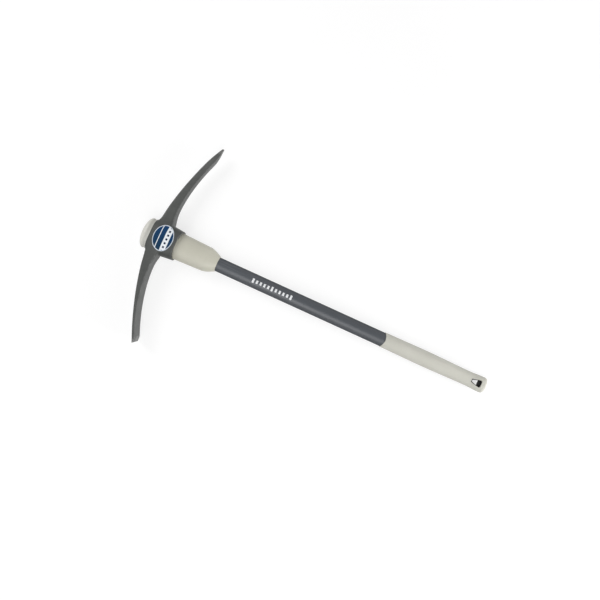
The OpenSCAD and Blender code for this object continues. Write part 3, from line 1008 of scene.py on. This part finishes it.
def scale_mask(tree):
    """1 on the ticks of the scale and 0 off them."""
    parts = split(tree, object_place(tree))
    from_start = math_node(tree, "SUBTRACT", parts[X], SCALE_START)
    tick = below(tree, math_node(tree, "MODULO", from_start, TICK_STEP), TICK_WIDE)
    long_tick = below(tree, math_node(tree, "MODULO", from_start, LONG_STEP), TICK_WIDE)
    reach = math_node(tree, "MULTIPLY_ADD", long_tick, TICK_LONG - TICK_SHORT, TICK_SHORT)
    beyond = math_node(tree, "SUBTRACT", math_node(tree, "ABSOLUTE", parts[Y]), reach)
    mask = math_node(tree, "MULTIPLY", tick, below(tree, beyond, 0.0))
    for operation, part, limit in (
        ("GREATER_THAN", X, SCALE_START), ("LESS_THAN", X, SCALE_END), ("GREATER_THAN", Z, AXIS_Z),
    ):
        mask = math_node(tree, "MULTIPLY", mask, math_node(tree, operation, parts[part], limit))
    return mask


print("the scale has", TICK_COUNT + 1, "ticks")

# %% Shaft plastic
SHINE, RIM_SHINE = 0.68, 0.05
RIM_FROM, RIM_FULL = 0.25, 0.6
SHAFT_SCUFF, TICK_WHITE = srgb(98, 102, 108), srgb(226, 228, 230)

shaft_plastic, tree, shader = new_finish("shaft_plastic")
tone = use_group(
    tree, cloudy_tone,
    dark_tone=srgb(47, 51, 57), light_tone=srgb(60, 64, 70), cloud_scale=12.0, mottle_scale=300.0,
)
marks = use_group(tree, handling_marks, streak_length=18.0, streak_width=700.0, amount=0.3)
body = mix_colour(tree, marks["Mask"], tone["Colour"], SHAFT_SCUFF)
facing = add_node(tree, "ShaderNodeLayerWeight", {"Blend": 0.5}).outputs["Facing"]
shine = map_range(tree, facing, RIM_FROM, RIM_FULL, SHINE, RIM_SHINE)
tree.links.new(shine, shader.inputs["Specular IOR Level"])
grained_skin(
    tree, shader, mix_colour(tree, scale_mask(tree), body, TICK_WHITE),
    rough=(0.34, 0.44), distance=0.0003, strength=0.12,
    grain_scale=1100.0, wave_scale=50.0, wave_share=0.8,
)
print("shaft_plastic: charcoal satin with a white tick scale")

# %% [markdown]
# ### Inside the handle
# The black insert shows only in the hang hole. The fibre core and its bond are sealed in, but
# they are part of the model, so they get their own finishes too.

# %% Insert, core and bond
FINE_BUMP = 0.0002
FIBRE_DARK, FIBRE_LIGHT = srgb(206, 198, 160), srgb(232, 226, 198)

insert_plastic, tree, shader = new_finish("insert_plastic", specular=0.2)
tone = use_group(
    tree, cloudy_tone,
    dark_tone=srgb(5, 5, 6), light_tone=srgb(11, 11, 12), cloud_scale=60.0, mottle_scale=600.0,
)
skin(tree, shader, tone["Colour"], tone["Mask"], (0.6, 0.75), tone["Mask"], FINE_BUMP)

glass_fibre, tree, shader = new_finish("glass_fibre")
strands = use_group(tree, handling_marks, streak_length=6.0, streak_width=1600.0, amount=0.8)["Mask"]
colour = mix_colour(tree, strands, FIBRE_DARK, FIBRE_LIGHT)
skin(tree, shader, colour, strands, (0.3, 0.45), strands, FINE_BUMP)

bond_resin, tree, shader = new_finish("bond_resin")
tone = use_group(
    tree, cloudy_tone,
    dark_tone=srgb(150, 108, 52), light_tone=srgb(188, 146, 82), cloud_scale=90.0, mottle_scale=700.0,
)
skin(tree, shader, tone["Colour"], tone["Mask"], (0.18, 0.3), tone["Mask"], FINE_BUMP)
print("insert_plastic, glass_fibre and bond_resin are ready")

# %% [markdown]
# ## Putting it together
# Each piece stands for one solid of the model and moves with the same body. The head slides
# off down the handle, so the head and its label ride on one body and the rest on the other.
# The solids that stay only get their finish.

# %% Ride, replace and paint
PIECES = [
    (forged_head, "head", "pick_head", "head_paint", head_paint),
    (cheek_label, "head", "eye_label", "label_print", label_print),
    (eye_sleeve, "handle", "head_sleeve", "putty_plastic", putty_plastic),
    (dome_plug, "handle", "top_plug", "putty_plastic", putty_plastic),
    (jacket_tube, "handle", "shaft_jacket", "shaft_plastic", shaft_plastic),
    (soft_grip, "handle", "end_grip", "grip_rubber", grip_rubber),
]
for piece, body, node_name, slot_name, finish in PIECES:
    piece.data.materials.append(finish)
    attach(piece, body)
    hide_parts(node_name)

KEPT = {"butt_insert": insert_plastic, "core_rod": glass_fibre, "core_bond": bond_resin}
for node_name, finish in KEPT.items():
    node = nodes[node_name]
    if not node.material_slots:
        node.data.materials.append(finish)
    for material_slot in node.material_slots:
        material_slot.material = finish
print(len(PIECES), "pieces stand for solids, and", len(KEPT), "solids stay")

# %% [markdown]
# ## Floor, light and sky
# The photograph has a plain white ground and soft even light, as in a light tent: the sky is
# brighter near the horizon, and one large soft box stands on the chisel's side. The floor is a
# pale sheet that touches the lower cheek and the flared butt, as the real tool would lie. White
# comes from the sheet's own colour and from what the camera sees of the sky, and not from more
# light on the tool. Seen from below the sheet is clear, so the tool's underside can be looked
# at too.

# %% Floor sheet
FLOOR_SIZE, FLOOR_CELLS, FLOOR_GAP = 12.0, 4, 0.0002
REST_HEAD, REST_BUTT = (0.030, 0.0), (0.850, AXIS_Z - BUTT_R * MM)

tilt = math.atan2(REST_BUTT[1] - REST_HEAD[1], REST_BUTT[0] - REST_HEAD[0])
floor_bm = bmesh.new()
bmesh.ops.create_grid(floor_bm, x_segments=FLOOR_CELLS, y_segments=FLOOR_CELLS, size=FLOOR_SIZE)
bmesh.ops.rotate(floor_bm, verts=floor_bm.verts[:], matrix=Matrix.Rotation(-tilt, 3, "Y"))
bmesh.ops.translate(floor_bm, verts=floor_bm.verts[:], vec=(REST_HEAD[0], 0.0, REST_HEAD[1] - FLOOR_GAP))
floor_mesh = bpy.data.meshes.new("floor")
floor_bm.to_mesh(floor_mesh)
floor_bm.free()
floor = bpy.data.objects.new("floor", floor_mesh)
scene.collection.objects.link(floor)
print("floor tilted by", round(math.degrees(tilt), 2), "degrees")

# %% Floor paper
WHITE = (1.0, 1.0, 1.0, 1.0)
FLOOR_ROUGH = 0.9
FLOOR_GLOW, FAR_GLOW = 0.74, 0.96
NEAR, FAR = 0.8, 3.0


def seen_directly(tree):
    """1 for what the camera sees itself, in a reflection or through glass, and 0 for other light."""
    rays = add_node(tree, "ShaderNodeLightPath", {}).outputs
    mirrored = math_node(tree, "MAXIMUM", rays["Is Glossy Ray"], rays["Is Transmission Ray"])
    return math_node(tree, "MAXIMUM", rays["Is Camera Ray"], mirrored)


floor_paper, tree, shader = new_finish("floor_paper", specular=0.1)
tone = use_group(
    tree, cloudy_tone,
    dark_tone=srgb(148, 148, 148), light_tone=srgb(152, 152, 152), cloud_scale=3.0, mottle_scale=200.0,
)
reach = add_node(tree, "ShaderNodeVectorMath", {0: object_place(tree)}, operation="LENGTH").outputs["Value"]
glow = map_range(tree, reach, NEAR, FAR, FLOOR_GLOW, FAR_GLOW)
from_below = add_node(tree, "ShaderNodeNewGeometry", {}).outputs["Backfacing"]
for name, value in (
    ("Base Color", tone["Colour"]),
    ("Roughness", FLOOR_ROUGH),
    ("Emission Color", WHITE),
    ("Emission Strength", math_node(tree, "MULTIPLY", seen_directly(tree), glow)),
    ("Alpha", math_node(tree, "SUBTRACT", 1.0, from_below)),
):
    set_input(tree, shader.inputs[name], value)
floor_mesh.materials.append(floor_paper)
print("floor_paper glows for the camera and is clear from below")

# %% Sky
SKY_LOW, SKY_HIGH, HIGH_FROM = 1.45, 0.0, 0.7

world = bpy.data.worlds.new("studio")
scene.world = world
world.use_nodes = True
tree = world.node_tree
background = tree.nodes["Background"]
upward = split(tree, add_node(tree, "ShaderNodeTexCoord", {}).outputs["Generated"])[Z]
sky_light = map_range(tree, upward, 0.0, HIGH_FROM, SKY_LOW, SKY_HIGH)
background.inputs["Color"].default_value = WHITE
strength = map_range(tree, seen_directly(tree), 0.0, 1.0, sky_light, 1.0)
tree.links.new(strength, background.inputs["Strength"])
scene.view_settings.view_transform = "Standard"
print("sky light from", SKY_LOW, "at the horizon to", SKY_HIGH, "overhead")

# %% Lamps
# Each lamp has a place, its two side lengths and its power in watts.
LAMPS = {
    "key_lamp": ((2.4, 0.15, 0.6), (0.9, 0.9), 36.0),
    "soft_box": ((0.36, -1.26, 1.83), (1.4, 1.8), 21.0),
    "back_lamp": ((-1.6, 0.55, 1.6), (1.2, 1.2), 25.0),
}
AIM = Vector((0.3, 0.0, AXIS_Z))

for name, (place, sides, power) in LAMPS.items():
    light = bpy.data.lights.new(name, "AREA")
    light.shape = "RECTANGLE"
    light.size, light.size_y = sides
    light.energy = power
    lamp = bpy.data.objects.new(name, light)
    lamp.location = place
    lamp.rotation_euler = (AIM - Vector(place)).to_track_quat("-Z", "Y").to_euler()
    scene.collection.objects.link(lamp)
print("lamps:", ", ".join(LAMPS))
